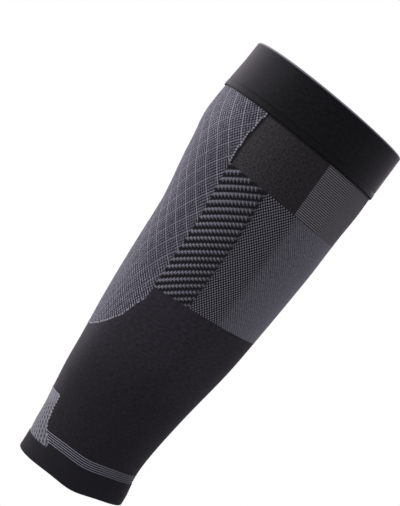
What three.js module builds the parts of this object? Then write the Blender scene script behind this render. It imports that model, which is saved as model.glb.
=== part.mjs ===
// A calf compression sleeve, circular knit, in the form it takes on a leg.
// Millimetres. +Z points up to the knee, +X to the shin and -X to the calf, with the origin on the leg's axis
// halfway up. The sleeve is hollow and open at both ends. Each knit zone is a closed wall of its own, and
// neighbouring zones keep a narrow seam gap.
import * as THREE from "three";

// The whole sleeve
const sleeveLength = 322;
const calfDepth = 130;
const calfWidth = 116;
const wall = 1.2;
const seamGap = 0.3;

// Heights of the knit zones, counted along the leg
const cuffHeight = 36.7;
const windowHeight = 42.2;
const shinBandHeight = 94.5;
const calfTailHeight = 49;
const achillesHeight = 34.5;
const ankleBandHeight = 6.6;
const hemHeight = 13.5;
const hemStepHeight = 3.6;

// Where the zones end round the leg, in degrees from the middle of the back
const calfEdgeAngle = 61.5;
const ribEdgeAngle = 92;
const windowEdgeAngle = 114.3;
const achillesNeckAngle = 36.6;
const achillesFootAngle = 54.5;

// The doubled cuff and hem, and the raised ribs, which climb ribClimb for each degree towards the shin
const cuffProud = 1.0;
const cuffRidgeHeight = 5;
const cuffRidgeProud = 0.5;
const hemProud = 0.4;
const ribPitch = 5.57;
const ribProud = 0.6;
const ribClimb = 0.67;

// How round the section is, and how the relaxed lower edge dips at the sides
const backFullness = 0.08;
const hemDip = 2.4;
const hemDipAngle = 98;
const hemDipSpread = 20;
const hemDipReach = 80;

// Facets: the widest column in degrees, and the tallest row
const columnStep = 7.2;
const rowStep = 16;

// Sections of the leg from the hem to the top rim. level is a share of sleeveLength, depth and lean (how far the
// middle lies towards the shin) are shares of calfDepth, and width is a share of calfWidth.
const SECTIONS = [
  { level: -0.03, depth: 0.638, width: 0.612, lean: 0.0277 },
  { level: 0.03, depth: 0.637, width: 0.605, lean: 0.0212 },
  { level: 0.06, depth: 0.634, width: 0.6, lean: 0.0104 },
  { level: 0.098, depth: 0.636, width: 0.6, lean: 0.0038 },
  { level: 0.144, depth: 0.659, width: 0.62, lean: -0.0008 },
  { level: 0.206, depth: 0.697, width: 0.66, lean: -0.0019 },
  { level: 0.268, depth: 0.732, width: 0.7, lean: 0.0027 },
  { level: 0.383, depth: 0.805, width: 0.77, lean: 0.0123 },
  { level: 0.501, depth: 0.853, width: 0.83, lean: 0.0177 },
  { level: 0.616, depth: 0.891, width: 0.89, lean: 0.0227 },
  { level: 0.666, depth: 0.917, width: 0.92, lean: 0.0188 },
  { level: 0.719, depth: 0.945, width: 0.955, lean: 0.0104 },
  { level: 0.769, depth: 0.968, width: 0.98, lean: 0.005 },
  { level: 0.828, depth: 1.0, width: 1.0, lean: 0.0 },
  { level: 0.899, depth: 0.992, width: 0.99, lean: 0.0062 },
  { level: 0.967, depth: 0.979, width: 0.97, lean: 0.0173 },
  { level: 1.035, depth: 0.971, width: 0.95, lean: 0.0246 },
];

// How far a course of the knit rises at the calf and falls at the shin, as a share of sleeveLength, by its level.
const COURSES = [
  { level: 0, tilt: -0.009 },
  { level: 0.46, tilt: -0.009 },
  { level: 0.755, tilt: 0.016 },
  { level: 0.886, tilt: 0.013 },
  { level: 1, tilt: 0.016 },
];

// Lower edge of the calf panel. angle is a share of calfEdgeAngle, and drop a share of calfTailHeight.
const CALF_EDGE = [
  { angle: 0, drop: 1 },
  { angle: 0.32, drop: 0.97 },
  { angle: 0.525, drop: 0.88 },
  { angle: 0.667, drop: 0.77 },
  { angle: 0.834, drop: 0.583 },
  { angle: 0.889, drop: 0.44 },
  { angle: 0.955, drop: 0.28 },
  { angle: 1, drop: 0.2 },
];

// Side edge of the Achilles patch. along runs from achillesNeckAngle, 0, to achillesFootAngle, 1, and height is
// a share of achillesHeight.
const ACHILLES_EDGE = [
  { along: 0, height: 0.72 },
  { along: 0.13, height: 0.43 },
  { along: 0.5, height: 0.26 },
  { along: 1, height: 0.105 },
];

// One rib across its pitch, from one recess to the next. across is a share of ribPitch, rise a share of ribProud.
const RIB_PROFILE = [
  { across: -0.36, rise: 0 },
  { across: -0.2, rise: 1 },
  { across: 0.2, rise: 1 },
  { across: 0.36, rise: 0 },
];

const FINISHES = {
  top_cuff: 0x18181b,
  calf_panel: 0x66666e,
  rib_panel: 0x4a494f,
  side_window: 0x262425,
  upper_shin_panel: 0x333236,
  shin_band: 0x46464f,
  lower_leg: 0x222126,
  achilles_patch: 0x74747d,
  ankle_band: 0x55555c,
  ankle_hem: 0x161618,
};

// Levels, as shares of sleeveLength, that follow from the heights
const share = (millimetres) => millimetres / sleeveLength;
const gap = share(seamGap);
const hemTop = share(hemHeight);
const bandLow = hemTop + share(hemStepHeight);
const bandTop = bandLow + share(ankleBandHeight);
const cuffLow = 1 - share(cuffHeight);
const windowLow = cuffLow - share(windowHeight);
const shinBandLow = windowLow - share(shinBandHeight);

const radians = THREE.MathUtils.degToRad;
const clamp = THREE.MathUtils.clamp;

// Degrees from the middle of the back, the same on both sides of the leg
function fromBack(angle) {
  return Math.abs(((((angle + 180) % 360) + 360) % 360) - 180);
}

// A value between the rows of a table: straight, or smooth with the slopes of its neighbours
function straight(table, key, value, at) {
  const last = table.length - 1;
  let i = 0;
  while (i < last - 1 && at > table[i + 1][key]) i++;
  const [p, q] = [table[i], table[i + 1]];
  const t = clamp((at - p[key]) / (q[key] - p[key]), 0, 1);
  return p[value] + (q[value] - p[value]) * t;
}

function smooth(table, key, value, at) {
  const last = table.length - 1;
  let i = 0;
  while (i < last - 1 && at > table[i + 1][key]) i++;
  const slope = (j) => {
    const [p, q] = [table[Math.max(j - 1, 0)], table[Math.min(j + 1, last)]];
    return (q[value] - p[value]) / (q[key] - p[key]);
  };
  const [p, q] = [table[i], table[i + 1]];
  const span = q[key] - p[key];
  const t = clamp((at - p[key]) / span, 0, 1);
  const [t2, t3] = [t * t, t * t * t];
  return (
    p[value] * (2 * t3 - 3 * t2 + 1) +
    q[value] * (3 * t2 - 2 * t3) +
    span * (slope(i) * (t3 - 2 * t2 + t) + slope(i + 1) * (t3 - t2))
  );
}

// The level of a course at an angle: it tilts a little, and dips at the sides near the hem
function levelOf(angle, course) {
  const side = (fromBack(angle) - hemDipAngle) / hemDipSpread;
  const dip = share(hemDip) * Math.exp(-side * side) * clamp(1 - course / share(hemDipReach), 0, 1);
  return course + straight(COURSES, "level", "tilt", course) * Math.cos(radians(angle)) - dip;
}

// The leg's section at a level: an oval, fuller at the calf than at the shin
function oval(angle, level) {
  const a = radians(angle);
  const halfDepth = (smooth(SECTIONS, "level", "depth", level) * calfDepth) / 2;
  const halfWidth = (smooth(SECTIONS, "level", "width", level) * calfWidth) / 2;
  const middle = smooth(SECTIONS, "level", "lean", level) * calfDepth;
  return new THREE.Vector2(
    middle - halfDepth * Math.cos(a),
    -halfWidth * Math.sin(a) * (1 + backFullness * Math.cos(a)),
  );
}

// A point of the knit: out is how far it stands outside the body's outer face, square to the oval
function knitPoint(angle, course, out) {
  const level = levelOf(angle, course);
  const here = oval(angle, level);
  const along = oval(angle + 0.5, level).sub(oval(angle - 0.5, level)).normalize();
  const z = (level - 0.5) * sleeveLength;
  return new THREE.Vector3(here.x + along.y * out, here.y - along.x * out, z);
}

// Columns from one angle to another, evenly spaced between the breaks where an edge turns
function columnsBetween(from, to, breaks = []) {
  const stops = [from, ...breaks.filter((b) => b > from && b < to).sort((a, b) => a - b), to];
  const columns = [from];
  for (let s = 1; s < stops.length; s++) {
    const [start, end] = [stops[s - 1], stops[s]];
    const count = Math.max(1, Math.ceil((end - start) / columnStep));
    for (let i = 1; i <= count; i++) columns.push(start + ((end - start) * i) / count);
  }
  return columns;
}

// A closed wall. rowsAt gives the rows of a column from the lower edge to the upper one, each with its course and
// how far its outer and inner points stand out. A ring joins its last column to its first.
function knitWall(columns, rowsAt, ring = false) {
  const positions = [];
  const numbers = new Map();
  const indices = [];
  const number = (point) => {
    const key = point.toArray().map((c) => Math.round(c * 1e4)).join(",");
    if (!numbers.has(key)) {
      numbers.set(key, positions.length / 3);
      positions.push(...point.toArray());
    }
    return numbers.get(key);
  };
  const triangle = (a, b, c) => {
    if (a !== b && b !== c && c !== a) indices.push(a, b, c);
  };
  const quad = (a, b, c, d) => {
    triangle(a, b, c);
    triangle(a, c, d);
  };
  const loops = columns.map((angle) => {
    const rows = rowsAt(angle);
    const outer = rows.map((row) => number(knitPoint(angle, row.course, row.outer)));
    const inner = rows.map((row) => number(knitPoint(angle, row.course, row.inner)));
    return [...outer, ...inner.reverse()];
  });
  const around = loops[0].length;
  const pairs = ring ? loops.length : loops.length - 1;
  for (let i = 0; i < pairs; i++) {
    const [here, next] = [loops[i], loops[(i + 1) % loops.length]];
    for (let j = 0; j < around; j++) {
      const k = (j + 1) % around;
      quad(here[j], next[j], next[k], here[k]);
    }
  }
  if (!ring) {
    const [first, last] = [loops[0], loops[loops.length - 1]];
    for (let j = 0; j < around / 2 - 1; j++) {
      const [m, n] = [around - 1 - j, around - 2 - j];
      quad(first[j], first[j + 1], first[n], first[m]);
      quad(last[j], last[m], last[n], last[j + 1]);
    }
  }
  const geometry = new THREE.BufferGeometry();
  geometry.setAttribute("position", new THREE.Float32BufferAttribute(positions, 3));
  geometry.setIndex(indices);
  geometry.computeVertexNormals();
  return geometry;
}

// Plain rows of a single knit between two edges
function plainRows(low, high, angle, tallest) {
  const count = Math.max(1, Math.ceil(tallest / rowStep));
  const [bottom, top] = [low(angle), high(angle)];
  return Array.from({ length: count + 1 }, (_, i) => ({
    course: bottom + ((top - bottom) * i) / count,
    outer: 0,
    inner: -wall,
  }));
}

// A plain zone from one angle to another between a lower and an upper edge
function plainPanel(from, to, low, high, tallest, breaks = []) {
  return knitWall(columnsBetween(from, to, breaks), (angle) => plainRows(low, high, angle, tallest));
}

// The seam gap as an angle, at the widest part of the leg
const gapAngle = THREE.MathUtils.radToDeg(seamGap / (calfWidth / 2));
const ankleGapAngle = THREE.MathUtils.radToDeg(seamGap / (calfWidth * 0.3));

// The two edges that run across a whole zone
const calfBreaks = CALF_EDGE.map((row) => row.angle * calfEdgeAngle);
const calfEdge = (angle) => {
  const drop = straight(CALF_EDGE, "angle", "drop", fromBack(angle) / calfEdgeAngle);
  return shinBandLow - share(calfTailHeight) * drop;
};
const achillesSpan = achillesFootAngle - achillesNeckAngle;
const achillesBreaks = ACHILLES_EDGE.map((row) => achillesNeckAngle + row.along * achillesSpan);
const achillesEdge = (angle) => {
  const along = (fromBack(angle) - achillesNeckAngle) / achillesSpan;
  const height = along < 0 ? 1 : straight(ACHILLES_EDGE, "along", "height", along);
  return hemTop + share(achillesHeight) * height;
};
const bothSides = (angles) => [...angles.map((a) => -a), ...angles];
const allRound = (angles) => columnsBetween(-180, 180, bothSides(angles)).slice(0, -1);

// An upright edge is stepped over this angle, so that the wall stays one closed surface
const stepAngle = 0.06;
const beyond = (angle, edge) => fromBack(angle) > edge + stepAngle / 2;

// The doubled cuff: a ridge at its lower edge, a plain outer face and a rounded fold at the rim
function topCuff() {
  const full = cuffProud;
  const fold = (full + wall) / 2;
  const rimRound = share(fold);
  const ridge = full + cuffRidgeProud;
  const ridgeTop = share(cuffRidgeHeight);
  const rows = [
    { course: cuffLow, outer: full * 0.6, inner: -wall },
    { course: cuffLow + ridgeTop * 0.12, outer: ridge, inner: -wall },
    { course: cuffLow + ridgeTop * 0.8, outer: ridge, inner: -wall },
    { course: cuffLow + ridgeTop, outer: full, inner: -wall },
    { course: (cuffLow + ridgeTop + 1) / 2, outer: full, inner: -wall },
    { course: 1 - rimRound, outer: full, inner: -wall },
    { course: 1 - rimRound * 0.3, outer: full - fold * 0.3, inner: -wall + fold * 0.3 },
    { course: 1, outer: full - fold * 0.7, inner: -wall + fold * 0.7 },
  ];
  return knitWall(allRound([]), () => rows, true);
}

// The gray panel round the calf, whose lower edge sweeps down to the middle of the back
function calfPanel() {
  const tallest = sleeveLength * (cuffLow - shinBandLow) + calfTailHeight;
  const high = () => cuffLow - gap;
  return plainPanel(-calfEdgeAngle, calfEdgeAngle, calfEdge, high, tallest, bothSides(calfBreaks));
}

// One rib field beside the calf panel, with its ribs climbing towards the shin
function ribPanel(sign) {
  const [from, to] = [calfEdgeAngle + gapAngle, ribEdgeAngle];
  const [low, high] = [shinBandLow, windowLow - gap];
  const middleAngle = (calfEdgeAngle + ribEdgeAngle) / 2;
  const middleCourse = (shinBandLow + windowLow) / 2;
  const reach = share(ribClimb) * (ribEdgeAngle - middleAngle);
  const first = Math.floor((low - reach - middleCourse) / share(ribPitch));
  const lastRib = Math.ceil((high + reach - middleCourse) / share(ribPitch));
  const rowsAt = (angle) => {
    const rows = [];
    for (let rib = first; rib <= lastRib; rib++) {
      for (const { across, rise } of RIB_PROFILE) {
        const climb = share(ribClimb) * (fromBack(angle) - middleAngle);
        const course = middleCourse + (rib + across) * share(ribPitch) + climb;
        const inside = course > low && course < high;
        rows.push({
          course: clamp(course, low, high),
          outer: inside ? rise * ribProud : 0,
          inner: -wall,
        });
      }
    }
    return rows;
  };
  const columns = columnsBetween(from, to);
  const placed = sign > 0 ? columns : columns.map((a) => -a).reverse();
  return knitWall(placed, rowsAt);
}

// The plain dark window between the cuff and the ribs on one side
function sideWindow(sign) {
  const [from, to] = [calfEdgeAngle + gapAngle, windowEdgeAngle];
  const ends = sign > 0 ? [from, to] : [-to, -from];
  return plainPanel(...ends, () => windowLow, () => cuffLow - gap, windowHeight);
}

// The finely striped zone over the upper shin, between the two windows
function upperShinPanel() {
  const edge = windowEdgeAngle + gapAngle;
  return plainPanel(edge, 360 - edge, () => windowLow, () => cuffLow - gap, windowHeight);
}

// The gray band over the shin, between the two rib fields
function shinBand() {
  const edge = ribEdgeAngle + gapAngle;
  return plainPanel(edge, 360 - edge, () => shinBandLow, () => windowLow - gap, shinBandHeight);
}

// The dark lower leg: a ring with the calf panel's tail let into its top and the Achilles patch into its bottom
function lowerLeg() {
  const calfSide = calfEdgeAngle + gapAngle;
  const neckSide = achillesNeckAngle + ankleGapAngle;
  const high = (angle) => (beyond(angle, calfSide) ? shinBandLow : calfEdge(angle)) - gap;
  const low = (angle) => {
    if (!beyond(angle, neckSide)) return hemTop + share(achillesHeight) + gap;
    return Math.max(achillesEdge(fromBack(angle) - ankleGapAngle), bandTop) + gap;
  };
  const breaks = [
    ...calfBreaks.slice(0, -1),
    calfSide,
    calfSide + stepAngle,
    neckSide,
    neckSide + stepAngle,
    ...achillesBreaks.slice(1, -1).map((a) => a + ankleGapAngle),
  ];
  const tallest = sleeveLength * (shinBandLow - bandTop);
  return knitWall(allRound(breaks), (angle) => plainRows(low, high, angle, tallest), true);
}

// The gray patch over the Achilles tendon, which widens to its foot on the hem
function achillesPatch() {
  const low = () => hemTop;
  const upright = achillesNeckAngle - stepAngle;
  const edge = achillesFootAngle;
  const breaks = bothSides([upright, ...achillesBreaks.slice(0, -1)]);
  return plainPanel(-edge, edge, low, achillesEdge, achillesHeight, breaks);
}

// The lined band round the ankle, which stops at the two sides of the patch
function ankleBand() {
  const edge = (angle) => achillesEdge(fromBack(angle) - ankleGapAngle) + gap;
  const low = (angle) => Math.max(edge(angle), bandLow);
  const start = achillesBreaks[2] + ankleGapAngle;
  const foot = achillesFootAngle + ankleGapAngle;
  const breaks = [foot, 360 - foot];
  return plainPanel(start, 360 - start, low, () => bandTop, ankleBandHeight, breaks);
}

// The doubled black hem, with a rounded lower edge, stepped down under the patch
function ankleHem() {
  const foot = achillesFootAngle + ankleGapAngle;
  const fold = (hemProud + wall) / 2;
  const high = (angle) => (beyond(angle, foot) ? bandLow : hemTop) - gap;
  const rowsAt = (angle) => {
    const top = high(angle);
    const round = share(fold);
    return [
      { course: 0, outer: hemProud - fold * 0.7, inner: -wall + fold * 0.7 },
      { course: round * 0.7, outer: hemProud - fold * 0.3, inner: -wall + fold * 0.3 },
      { course: round, outer: hemProud, inner: -wall },
      { course: top - round, outer: hemProud, inner: -wall },
      { course: top, outer: 0, inner: -wall },
    ];
  };
  return knitWall(allRound([foot, foot + stepAngle]), rowsAt, true);
}

const sleeve = new THREE.Group();

function add(name, geometry, finish = name) {
  const material = new THREE.MeshStandardMaterial({
    color: FINISHES[finish],
    roughness: 0.85,
    metalness: 0,
  });
  const mesh = new THREE.Mesh(geometry, material);
  mesh.name = name;
  sleeve.add(mesh);
}

add("top_cuff", topCuff());
add("calf_panel", calfPanel());
for (const [side, sign] of [["right", 1], ["left", -1]]) {
  add(`rib_panel_${side}`, ribPanel(sign), "rib_panel");
  add(`side_window_${side}`, sideWindow(sign), "side_window");
}
add("upper_shin_panel", upperShinPanel());
add("shin_band", shinBand());
add("lower_leg", lowerLeg());
add("achilles_patch", achillesPatch());
add("ankle_band", ankleBand());
add("ankle_hem", ankleHem());

export default sleeve;
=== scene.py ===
# %% [markdown]
# # A calf compression sleeve
# The real object is a tube of elastic yarn, knitted round and round on one machine, and every zone of it is a
# different way of knitting the same stitches. The CAD model gives the size and the zones as plain walls. This
# file keeps that frame and makes each zone again with its stitches, relief and yarn colours.
# We start by loading the frame.

# %% Load the frame
import math

import bpy
import numpy as np
from mathutils import Matrix, Vector


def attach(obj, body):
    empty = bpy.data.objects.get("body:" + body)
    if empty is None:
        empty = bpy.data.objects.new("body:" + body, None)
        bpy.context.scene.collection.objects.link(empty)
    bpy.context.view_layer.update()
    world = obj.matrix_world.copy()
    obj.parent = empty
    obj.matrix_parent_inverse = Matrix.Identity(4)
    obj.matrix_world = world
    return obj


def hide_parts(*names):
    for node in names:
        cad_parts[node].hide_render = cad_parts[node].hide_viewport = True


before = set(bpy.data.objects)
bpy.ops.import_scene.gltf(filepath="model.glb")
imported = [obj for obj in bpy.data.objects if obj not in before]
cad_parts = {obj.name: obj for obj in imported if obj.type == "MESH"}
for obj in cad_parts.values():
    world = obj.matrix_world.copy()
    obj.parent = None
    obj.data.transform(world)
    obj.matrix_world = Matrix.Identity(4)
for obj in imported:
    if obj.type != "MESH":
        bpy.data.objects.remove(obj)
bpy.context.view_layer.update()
print("CAD nodes:", sorted(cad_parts))

# %% [markdown]
# ## Where we look from
# The product picture is taken from the side, a little above the middle, with the sleeve leaning over. The sleeve
# stays upright here and the camera is tipped instead, so that it is still true to the frame. A long lens keeps
# the two ends nearly the same size, as they are in the picture.

# %% The camera
EYE = Vector((-0.01105, -1.1, 0.065))
LOOK_AT = Vector((-0.01105, 0, 0.021))
TIP = math.radians(34.8)

forward = (LOOK_AT - EYE).normalized()
level_right = forward.cross(Vector((0, 0, 1))).normalized()
level_up = level_right.cross(forward)
right = level_right * math.cos(TIP) + level_up * math.sin(TIP)
up = level_up * math.cos(TIP) - level_right * math.sin(TIP)

camera = bpy.data.objects.new("camera", bpy.data.cameras.new("camera"))
bpy.context.scene.collection.objects.link(camera)
camera.matrix_world = Matrix.Translation(EYE) @ Matrix((right, up, -forward)).transposed().to_4x4()
camera.data.lens = 110.8
camera.data.sensor_width = 36
camera.data.clip_start = 0.01
bpy.context.scene.camera = camera
print("camera distance in metres:", round((LOOK_AT - EYE).length, 3))

# %% [markdown]
# ## Light and ground
# Black yarn needs soft light, and five round lamps give it. Two large ones on the calf's side make the bright edge
# that fades round the leg, a weaker one lights the side that faces us, a weak one on the shin's side lifts the far
# edge off black, and a small one above catches the rim. The surroundings are white to the eye but give little
# light, so the dark middle stays dark. The floor is a plain pale disc below the sleeve.

# %% Lamps, surroundings and floor
def soft_lamp(name, place, size, power):
    lamp = bpy.data.objects.new(name, bpy.data.lights.new(name, "AREA"))
    lamp.data.shape = "DISK"
    lamp.data.size = size
    lamp.data.energy = power
    lamp.matrix_world = Matrix.Translation(place) @ Vector(place).to_track_quat("Z", "Y").to_matrix().to_4x4()
    bpy.context.scene.collection.objects.link(lamp)


soft_lamp("far_calf_lamp", (-1.39, 0.98, 0.35), 0.9, 11)
soft_lamp("calf_lamp", (-1.65, -0.4, 0.35), 1.2, 12)
soft_lamp("side_lamp", (-0.45, -1.64, 0.35), 0.9, 4.9)
soft_lamp("shin_lamp", (1.67, -0.2, 0.35), 0.9, 2.2)
soft_lamp("rim_lamp", (0.3, 0.9, 1.3), 0.6, 14)

world = bpy.data.worlds.new("surroundings")
world.use_nodes = True
bpy.context.scene.world = world
tree = world.node_tree
backdrop, ambience = tree.nodes["Background"], tree.nodes.new("ShaderNodeBackground")
backdrop.inputs["Color"].default_value = (1, 1, 1, 1)
ambience.inputs["Color"].default_value = (0.91, 0.9, 1, 1)
ambience.inputs["Strength"].default_value = 0.17
seen = tree.nodes.new("ShaderNodeLightPath")
either = tree.nodes.new("ShaderNodeMixShader")
tree.links.new(seen.outputs["Is Camera Ray"], either.inputs[0])
tree.links.new(ambience.outputs[0], either.inputs[1])
tree.links.new(backdrop.outputs[0], either.inputs[2])
tree.links.new(either.outputs[0], tree.nodes["World Output"].inputs["Surface"])
bpy.context.scene.view_settings.view_transform = "Standard"

FLOOR_LEVEL, FLOOR_RADIUS, FLOOR_CORNERS = -0.46, 0.8, 96
turns = [math.tau * i / FLOOR_CORNERS for i in range(FLOOR_CORNERS)]
ring = [(FLOOR_RADIUS * math.cos(t), FLOOR_RADIUS * math.sin(t), FLOOR_LEVEL) for t in turns]
floor = bpy.data.objects.new("floor", bpy.data.meshes.new("floor"))
floor.data.from_pydata(ring, [], [list(range(FLOOR_CORNERS))])
bpy.context.scene.collection.objects.link(floor)
paper = bpy.data.materials.new("pale_floor")
paper.use_nodes = True
paper.node_tree.nodes["Principled BSDF"].inputs["Base Color"].default_value = (0.82, 0.82, 0.82, 1)
paper.node_tree.nodes["Principled BSDF"].inputs["Roughness"].default_value = 0.9
floor.data.materials.append(paper)

# %% [markdown]
# ## The form of the leg
# A stretched sleeve has the shape of what it is on. The same tables as in the CAD model say how deep and wide
# the leg is at each level and how the courses, the rows of stitches, tilt round it. One function turns an angle
# from the middle of the back and a height along the knit into a point, so that every zone fits its neighbours.

# %% Tables of the leg and the point of a stitch
MM = 0.001
LENGTH, DEPTH, WIDTH, WALL = 322, 130, 116, 1.2
BACK_FULLNESS = 0.08
HEM_DIP, DIP_ANGLE, DIP_SPREAD, DIP_REACH = 2.4, 98, 20, 80

# level, depth, width, lean: shares of LENGTH, DEPTH, WIDTH and DEPTH
SECTIONS = np.array([
    (-0.03, 0.638, 0.612, 0.0277), (0.03, 0.637, 0.605, 0.0212), (0.06, 0.634, 0.6, 0.0104),
    (0.098, 0.636, 0.6, 0.0038), (0.144, 0.659, 0.62, -0.0008), (0.206, 0.697, 0.66, -0.0019),
    (0.268, 0.732, 0.7, 0.0027), (0.383, 0.805, 0.77, 0.0123), (0.501, 0.853, 0.83, 0.0177),
    (0.616, 0.891, 0.89, 0.0227), (0.666, 0.917, 0.92, 0.0188), (0.719, 0.945, 0.955, 0.0104),
    (0.769, 0.968, 0.98, 0.005), (0.828, 1.0, 1.0, 0.0), (0.899, 0.992, 0.99, 0.0062),
    (0.967, 0.979, 0.97, 0.0173), (1.035, 0.971, 0.95, 0.0246),
])
# level and tilt of a course: shares of LENGTH
COURSES = np.array([(0, -0.009), (0.46, -0.009), (0.755, 0.016), (0.886, 0.013), (1, 0.016)])


def smooth(table, column, at):
    """A value between the rows of a table, smooth with the slopes of its neighbours"""
    key, value = table[:, 0], table[:, column]
    after = np.minimum(np.arange(len(key)) + 1, len(key) - 1)
    before = np.maximum(np.arange(len(key)) - 1, 0)
    slope = (value[after] - value[before]) / (key[after] - key[before])
    i = np.clip(np.searchsorted(key, at, side="right") - 1, 0, len(key) - 2)
    span = key[i + 1] - key[i]
    t = np.clip((at - key[i]) / span, 0, 1)
    return (value[i] * (2 * t**3 - 3 * t**2 + 1) + value[i + 1] * (3 * t**2 - 2 * t**3)
            + span * (slope[i] * (t**3 - 2 * t**2 + t) + slope[i + 1] * (t**3 - t**2)))


def oval(angle, level):
    """The leg's outline at one level, in millimetres. It is a little fuller at the back than an ellipse"""
    a = np.radians(angle)
    x = smooth(SECTIONS, 3, level) * DEPTH - smooth(SECTIONS, 1, level) * DEPTH / 2 * np.cos(a)
    y = -smooth(SECTIONS, 2, level) * WIDTH / 2 * np.sin(a) * (1 + BACK_FULLNESS * np.cos(a))
    return x, y


def from_back(angle):
    """Degrees from the middle of the back, the same on both sides"""
    return np.abs((angle + 180) % 360 - 180)


def knit_point(angle, height, out=0.0):
    """The point of a stitch in metres, from degrees and millimetres. out is how far it stands off the body"""
    course = height / LENGTH
    dip = HEM_DIP / LENGTH * np.exp(-((from_back(angle) - DIP_ANGLE) / DIP_SPREAD) ** 2)
    dip = dip * np.clip(1 - height / DIP_REACH, 0, 1)
    level = course + np.interp(course, COURSES[:, 0], COURSES[:, 1]) * np.cos(np.radians(angle)) - dip
    (x, y), (x1, y1), (x0, y0) = oval(angle, level), oval(angle + 0.5, level), oval(angle - 0.5, level)
    run = np.hypot(x1 - x0, y1 - y0)
    x, y = x + (y1 - y0) / run * out, y - (x1 - x0) / run * out
    return np.stack([x, y, (level - 0.5) * LENGTH + 0 * x], -1) * MM


print("calf's widest point in metres:", knit_point(np.array(0.0), np.array(0.828 * LENGTH)).round(4))

# %% [markdown]
# ## A wall of stitches
# Knitted cloth is not a surface but a layer with two faces. It could be one face thickened by a modifier, but the
# fold of the cuff and the relief belong to one face only, so each wall is built directly as a closed grid: an
# outer face, an inner face and the edges between them. Its UV map counts stitches: across is the wale, the upright
# column of loops, of which 168 go round the leg, and up is the height in millimetres.

# %% The wall builder
WALES = 168
WALE = 360 / WALES
SHARP_ANGLE = 55


def knit_wall(name, angle, height, outer=0.0, inner=-WALL, ring=False):
    """A closed wall over a grid of angles and heights, rows by columns"""
    rows, columns = angle.shape
    outer, inner = np.broadcast_to(outer, angle.shape), np.broadcast_to(inner, angle.shape)
    points = np.concatenate([knit_point(angle, height, outer), knit_point(angle, height, inner)[::-1]])
    across = np.concatenate([angle, angle[::-1]]) / WALE
    along = np.concatenate([height, height[::-1]])
    number = np.arange(points.shape[0] * columns).reshape(-1, columns)

    def quads(grid, turn=0.0):
        here, after = (grid, np.roll(grid, -1, axis=1)) if ring else (grid[:, :-1], grid[:, 1:])
        if turn:
            after = after.copy()
            after[:, -1] += turn
        return np.stack([here, after, np.roll(after, -1, axis=0), np.roll(here, -1, axis=0)], -1).reshape(-1, 4)

    faces = quads(number)
    u, v = quads(across, WALES if ring else 0.0), quads(along)
    if not ring:
        j = np.arange(rows - 1)
        m, n = 2 * rows - 1 - j, 2 * rows - 2 - j
        first = np.stack([number[j, 0], number[j + 1, 0], number[n, 0], number[m, 0]], -1)
        last = np.stack([number[j, -1], number[m, -1], number[n, -1], number[j + 1, -1]], -1)
        ends = np.concatenate([first, last])
        faces = np.concatenate([faces, ends])
        u = np.concatenate([u, across.reshape(-1)[ends]])
        v = np.concatenate([v, along.reshape(-1)[ends]])
    mesh = bpy.data.meshes.new(name)
    mesh.from_pydata(points.reshape(-1, 3), [], faces)
    mesh.uv_layers.new(name="stitches").data.foreach_set("uv", np.stack([u, v], -1).astype(np.float32).ravel())
    inside = np.zeros((2 * rows, columns), np.float32)
    inside[rows:] = 1
    mesh.attributes.new("inside", "FLOAT", "POINT").data.foreach_set("value", inside.ravel())
    mesh.polygons.foreach_set("use_smooth", np.ones(len(mesh.polygons), bool))
    mesh.set_sharp_from_angle(angle=math.radians(SHARP_ANGLE))
    wall = bpy.data.objects.new(name, mesh)
    bpy.context.scene.collection.objects.link(wall)
    print(f"{name}: {len(faces) * 2} triangles, {rows} rows of {columns} points a face")
    return wall


def spaced(low, high, step):
    """Even steps from low to high, none longer than step"""
    return np.linspace(low, high, max(1, math.ceil((high - low) / step)) + 1)


def grid(left, right, low, high, step, per_wale=2, breaks=()):
    """Angles and heights between a left and right edge and between a lower and an upper one.
    low and high are heights or functions of the angle, and step is the tallest row."""
    stops = [left, *sorted(b for b in breaks if left < b < right), right]
    angle = np.concatenate([spaced(a, b, WALE / per_wale)[:-1] for a, b in zip(stops, stops[1:])] + [[right]])
    bottom = low(angle) if callable(low) else np.full(angle.shape, float(low))
    top = high(angle) if callable(high) else np.full(angle.shape, float(high))
    t = spaced(0, 1, step / (top - bottom).max())[:, None]
    height = bottom + (top - bottom) * t
    return np.broadcast_to(angle, height.shape).copy(), height


# %% [markdown]
# ## Where the zones lie
# The zones end on whole stitches. These are the same heights and angles as in the CAD model. The seam gap of the
# CAD model is closed here almost fully, because in the real knit one zone runs into the next without a break.

# %% Zone edges
SEAM, MEAN_RADIUS = 0.03, 50
SEAM_ANGLE = math.degrees(SEAM / MEAN_RADIUS)
CUFF_HEIGHT, WINDOW_HEIGHT, RIBS_HEIGHT = 36.7, 42.2, 94.5
CUFF_LOW = LENGTH - CUFF_HEIGHT
WINDOW_LOW = CUFF_LOW - WINDOW_HEIGHT
BAND_LOW = WINDOW_LOW - RIBS_HEIGHT
HEM_TOP, HEM_STEP, LINES_HEIGHT = 13.5, 3.6, 6.6
ANKLE_LOW = HEM_TOP + HEM_STEP
ANKLE_TOP = ANKLE_LOW + LINES_HEIGHT
CALF_TAIL, PATCH = 49, 34.5
CALF_EDGE, RIB_EDGE, WINDOW_EDGE = 61.5, 92, 114.3
NECK, FOOT = 36.6, 54.5
STEP = 0.06

CALF_CURVE = np.array([(0, 1), (0.32, 0.97), (0.525, 0.88), (0.667, 0.77), (0.834, 0.583), (0.889, 0.44),
                       (0.955, 0.28), (1, 0.2)])
PATCH_CURVE = np.array([(0, 0.72), (0.13, 0.43), (0.5, 0.26), (1, 0.105)])


def calf_low(angle):
    drop = np.interp(from_back(angle) / CALF_EDGE, CALF_CURVE[:, 0], CALF_CURVE[:, 1])
    return BAND_LOW - CALF_TAIL * drop


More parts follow.
